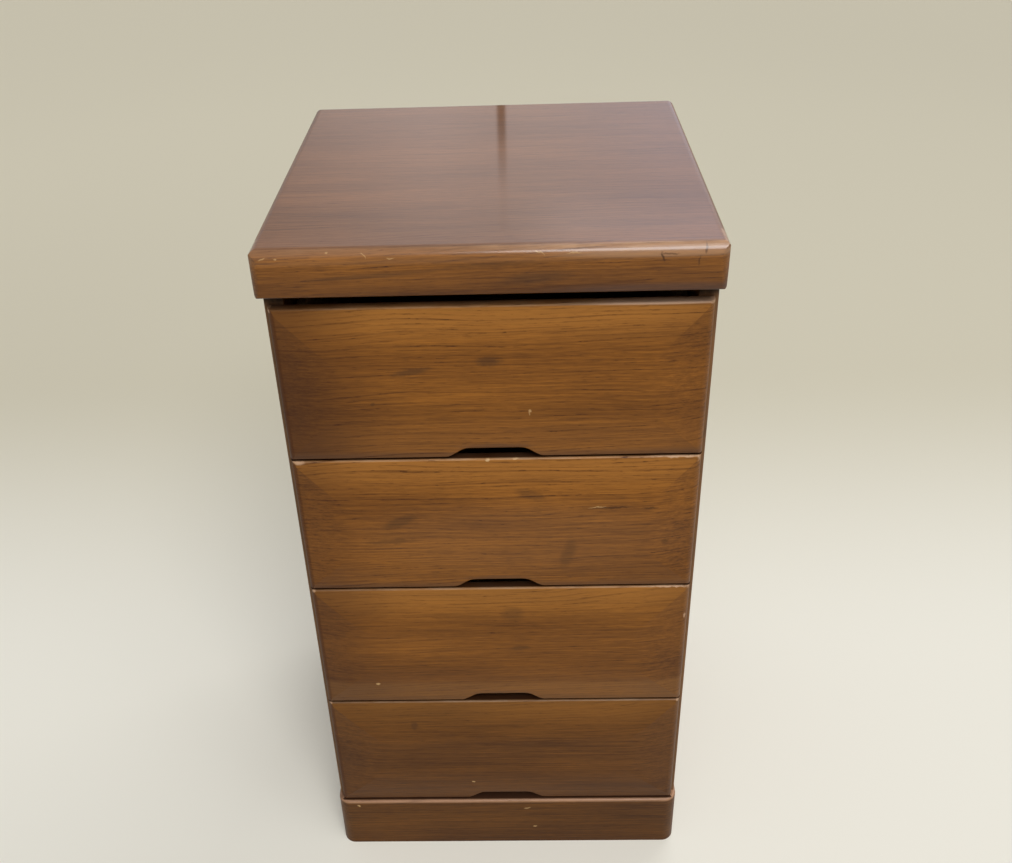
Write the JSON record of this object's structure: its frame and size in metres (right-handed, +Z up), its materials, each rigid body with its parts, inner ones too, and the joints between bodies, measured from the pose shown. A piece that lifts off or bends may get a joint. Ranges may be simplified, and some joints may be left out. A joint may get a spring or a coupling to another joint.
{
  "type": "nightstand",
  "caption": "Slim floor-standing bedside chest with full-overlay pillow-shaped drawer fronts, finger pulls, a thick overhanging top and a rounded plinth.",
  "frame": {"origin": "middle of the footprint at floor level", "axes": "+Z up, +Y towards the back, +X to the right as seen from the front; the drawers open towards -Y"},
  "size_m": [0.454, 0.446, 0.884],
  "materials": {
    "stained_wood": "satin brown stain with visible grain",
    "pale_wood": "planed, unfinished",
    "plywood": "sanded plywood"
  },
  "bodies": {
    "carcass": {"back_panel": "plywood", "base_rail_front": "pale_wood", "bottom_panel": "plywood", "divider_rail_1": "pale_wood", "divider_rail_2": "pale_wood", "divider_rail_3": "pale_wood", "plinth_back": "stained_wood", "plinth_corner_blocks": "pale_wood", "plinth_front": "stained_wood", "plinth_side_left": "stained_wood", "plinth_side_right": "stained_wood", "runner_1_left": "pale_wood", "runner_1_right": "pale_wood", "runner_2_left": "pale_wood", "runner_2_right": "pale_wood", "runner_3_left": "pale_wood", "runner_3_right": "pale_wood", "runner_4_left": "pale_wood", "runner_4_right": "pale_wood", "side_panel_left": "stained_wood", "side_panel_right": "stained_wood", "top_core": "stained_wood", "top_front_nosing": "stained_wood", "top_lipping_left": "stained_wood", "top_lipping_right": "stained_wood", "top_rail_back": "pale_wood", "top_rail_front": "stained_wood"},
    "drawer_1": {"drawer_back_1": "pale_wood", "drawer_bottom_1": "plywood", "drawer_front_1": "stained_wood", "drawer_side_1_left": "pale_wood", "drawer_side_1_right": "pale_wood"},
    "drawer_2": {"drawer_back_2": "pale_wood", "drawer_bottom_2": "plywood", "drawer_front_2": "stained_wood", "drawer_side_2_left": "pale_wood", "drawer_side_2_right": "pale_wood"},
    "drawer_3": {"drawer_back_3": "pale_wood", "drawer_bottom_3": "plywood", "drawer_front_3": "stained_wood", "drawer_side_3_left": "pale_wood", "drawer_side_3_right": "pale_wood"},
    "drawer_4": {"drawer_back_4": "pale_wood", "drawer_bottom_4": "plywood", "drawer_front_4": "stained_wood", "drawer_side_4_left": "pale_wood", "drawer_side_4_right": "pale_wood"}
  },
  "joints": [
    {"name": "drawer_1_slide", "type": "slide", "parent": "carcass", "child": "drawer_1", "axis": [0, -1, 0], "range_m": [0, 0.3]},
    {"name": "drawer_2_slide", "type": "slide", "parent": "carcass", "child": "drawer_2", "axis": [0, -1, 0], "range_m": [0, 0.3]},
    {"name": "drawer_3_slide", "type": "slide", "parent": "carcass", "child": "drawer_3", "axis": [0, -1, 0], "range_m": [0, 0.3]},
    {"name": "drawer_4_slide", "type": "slide", "parent": "carcass", "child": "drawer_4", "axis": [0, -1, 0], "range_m": [0, 0.3]}
  ]
}
